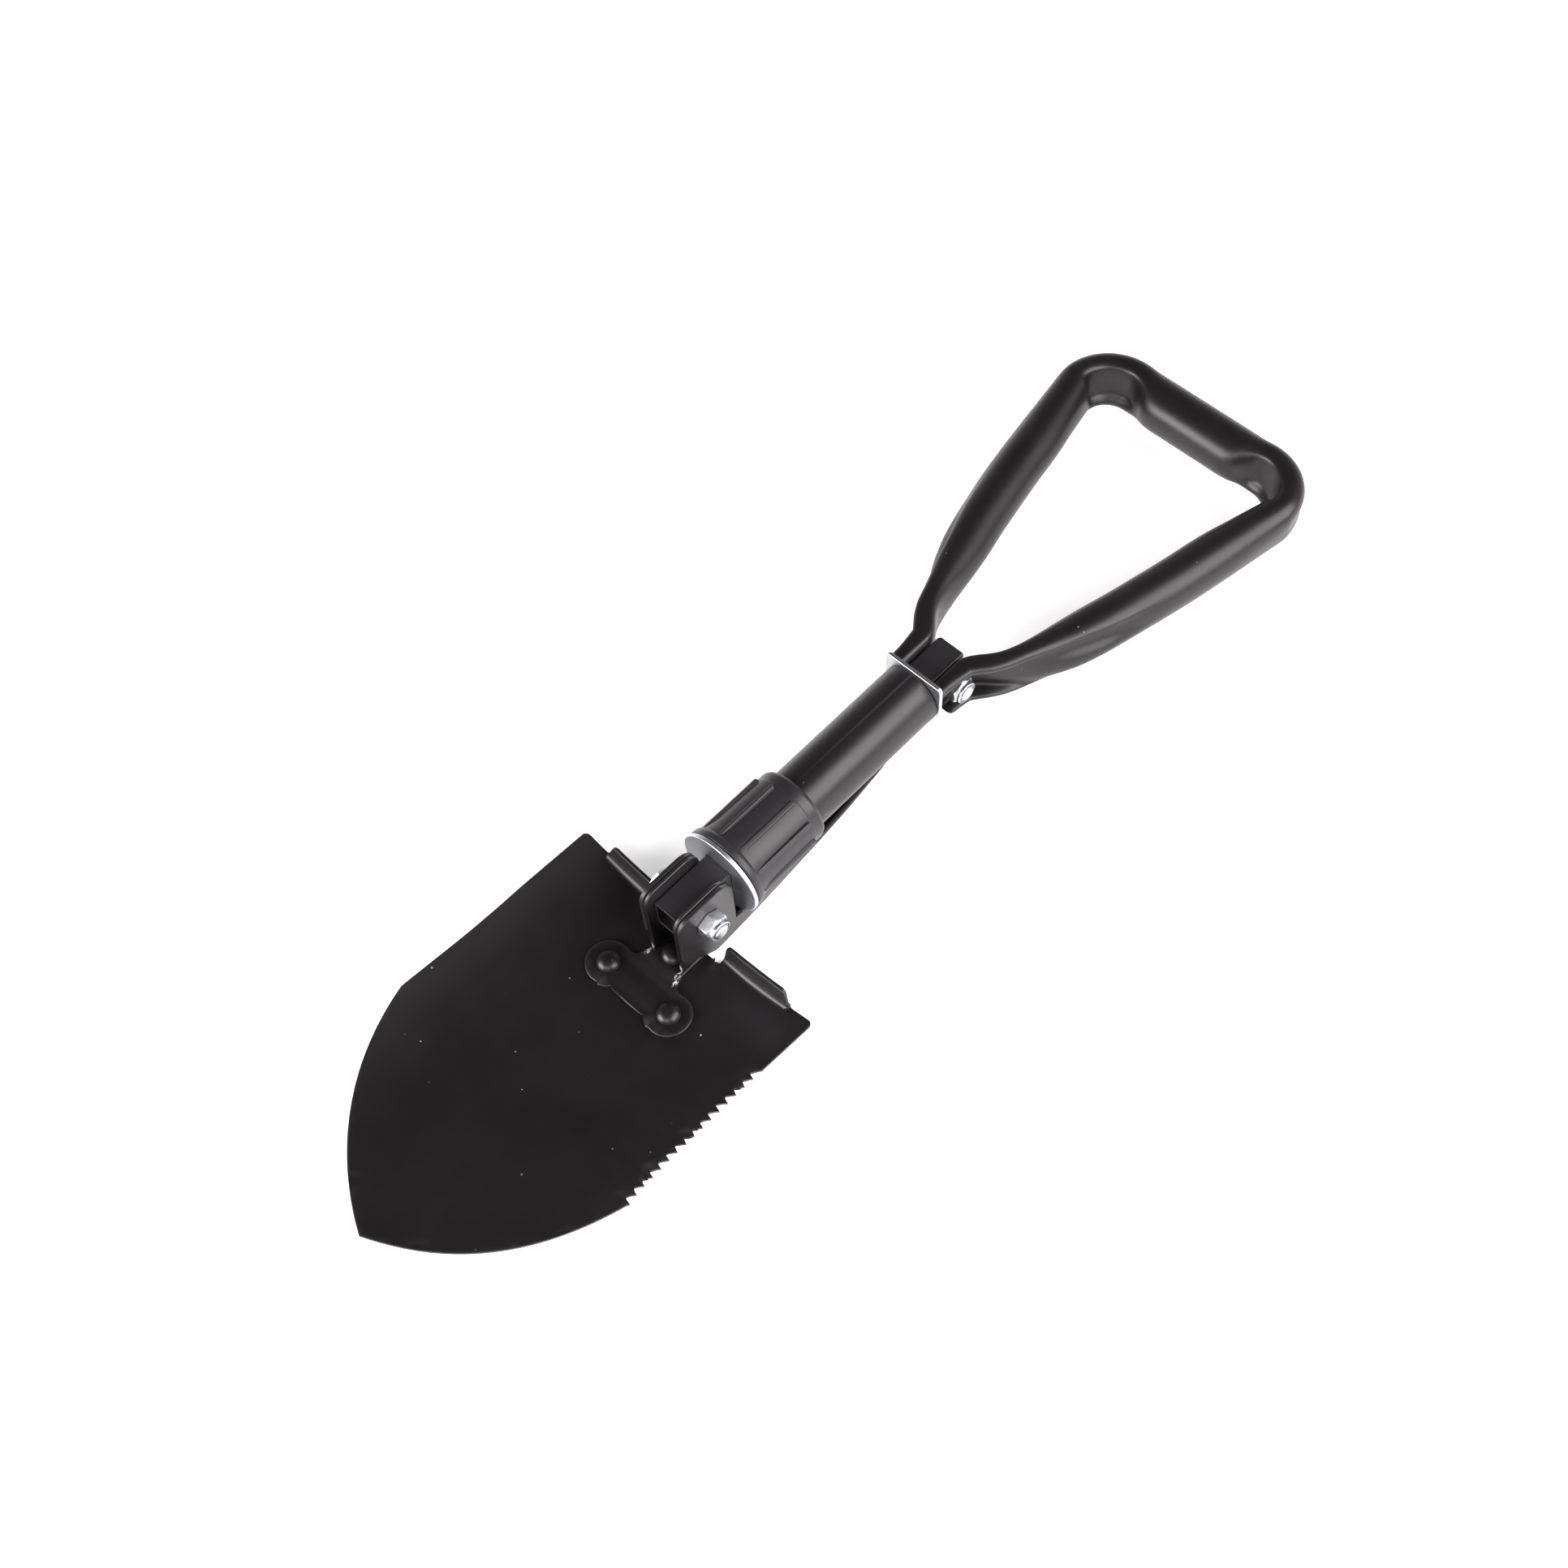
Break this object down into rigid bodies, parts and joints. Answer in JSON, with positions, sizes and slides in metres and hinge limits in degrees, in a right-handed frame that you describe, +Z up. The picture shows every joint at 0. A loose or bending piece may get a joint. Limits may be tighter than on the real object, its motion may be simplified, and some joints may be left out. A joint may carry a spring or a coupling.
{
  "type": "folding camp shovel",
  "caption": "Folding camp shovel: saw-edged pointed blade and pick hinged on one pivot, screw-down locking collar, tube shaft and fold-down triangular tube grip.",
  "frame": {"origin": "centre of the whole shovel's bounding box in plan, at the height of its lowest surface, the underside of the blade's flat seat", "axes": "+X along the shaft from the blade towards the grip, +Z up out of the blade's hollow side, so that +Y points to the blade's plain edge and the bolt heads"},
  "size_m": [0.5946, 0.1512, 0.0597],
  "materials": {
    "blade_coat": "satin black powder coat on steel",
    "bracket_coat": "satin black powder coat on steel",
    "rivet_coat": "satin black powder coat on steel",
    "pick_coat": "satin black powder coat on steel",
    "bar_coat": "satin black powder coat on steel",
    "tube_coat": "satin black powder coat on steel",
    "grip_coat": "satin black powder coat on steel",
    "plate_zinc": "bright zinc plated steel plate",
    "washer_zinc": "bright zinc plated steel washer",
    "fastener_zinc": "bright zinc plated steel fastener",
    "collar_plastic": "satin black moulded plastic",
    "insert_nylon": "off-white nylon",
    "spacer_steel": "plain turned steel"
  },
  "bodies": {
    "shaft": {"core_bar": "bar_coat", "shaft_tube": "tube_coat", "end_plate": "plate_zinc", "blade_pivot_bolt": "fastener_zinc", "blade_pivot_nut": "fastener_zinc", "blade_pivot_nut_insert": "insert_nylon", "blade_pivot_spacer": "spacer_steel", "grip_pivot_spacer": "spacer_steel"},
    "blade": {"blade": "blade_coat", "blade_bracket": "bracket_coat", "rivet_left": "rivet_coat", "rivet_right": "rivet_coat", "rivet_centre": "rivet_coat"},
    "pick": {"pick": "pick_coat"},
    "washer": {"lock_washer": "washer_zinc"},
    "collar": {"collar": "collar_plastic"},
    "grip": {"grip_tube": "grip_coat", "grip_pivot_bolt": "fastener_zinc", "grip_pivot_nut": "fastener_zinc", "grip_pivot_nut_insert": "insert_nylon"}
  },
  "joints": [
    {"name": "blade_fold", "type": "hinge", "parent": "shaft", "child": "blade", "pos_m": [-0.09485, 0, 0.037], "axis": [0, 1, 0], "range_deg": [0, 180]},
    {"name": "pick_fold", "type": "hinge", "parent": "shaft", "child": "pick", "pos_m": [-0.09485, 0, 0.037], "axis": [0, 1, 0], "range_deg": [0, 180]},
    {"name": "washer_slide", "type": "slide", "parent": "shaft", "child": "washer", "axis": [1, 0, 0], "range_m": [-0.0036, 0.003]},
    {"name": "collar_turn", "type": "hinge", "parent": "washer", "child": "collar", "pos_m": [-0.04885, 0, 0.037], "axis": [1, 0, 0], "range_deg": [-435, 362]},
    {"name": "grip_fold", "type": "hinge", "parent": "shaft", "child": "grip", "pos_m": [0.07605, 0, 0.037], "axis": [0, 1, 0], "range_deg": [0, 90]}
  ],
  "couplings": [
    {"joint": "pick_fold", "follows": "blade_fold", "ratio": 1},
    {"joint": "collar_turn", "follows": "washer_slide", "rad_per_m": 2094.4}
  ]
}
